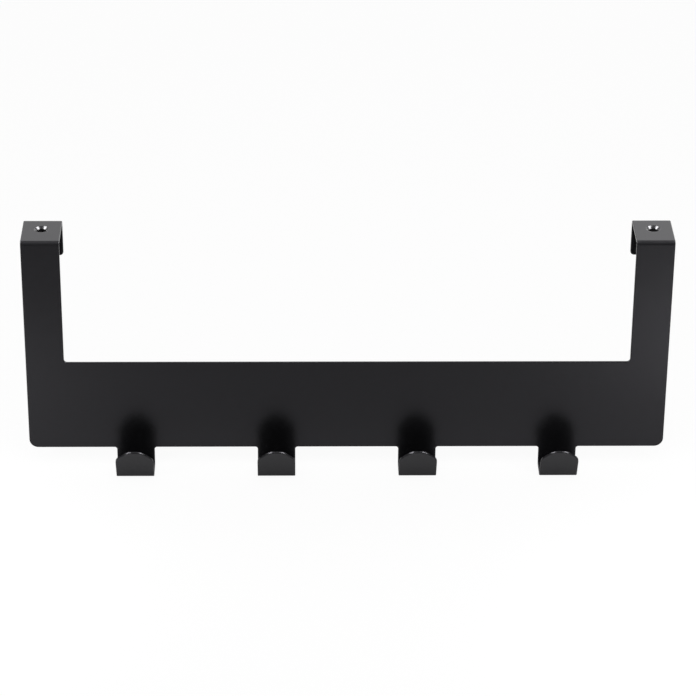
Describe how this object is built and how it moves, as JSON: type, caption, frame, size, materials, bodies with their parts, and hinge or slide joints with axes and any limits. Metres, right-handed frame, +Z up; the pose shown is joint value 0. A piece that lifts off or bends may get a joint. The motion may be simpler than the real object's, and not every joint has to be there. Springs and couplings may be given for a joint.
{
  "type": "over door hook rack",
  "caption": "Folded black steel hook rack that hangs over the top of a door: U-shaped plate, drilled tabs with short back legs, and round-ended coat hooks along its lower edge.",
  "frame": {"origin": "on the door's front top edge, midway between the tabs: the back of the plate lies at Y 0 and the underside of the tabs at Z 0", "axes": "+X along the bar, +Y from the room towards the back of the door, +Z up"},
  "size_m": [0.5, 0.0708, 0.1975],
  "materials": {
    "black_coat": "satin black powder coat over steel sheet, with a faint grain"
  },
  "bodies": {
    "root": {"hook_rack": "black_coat"}
  },
  "joints": []
}
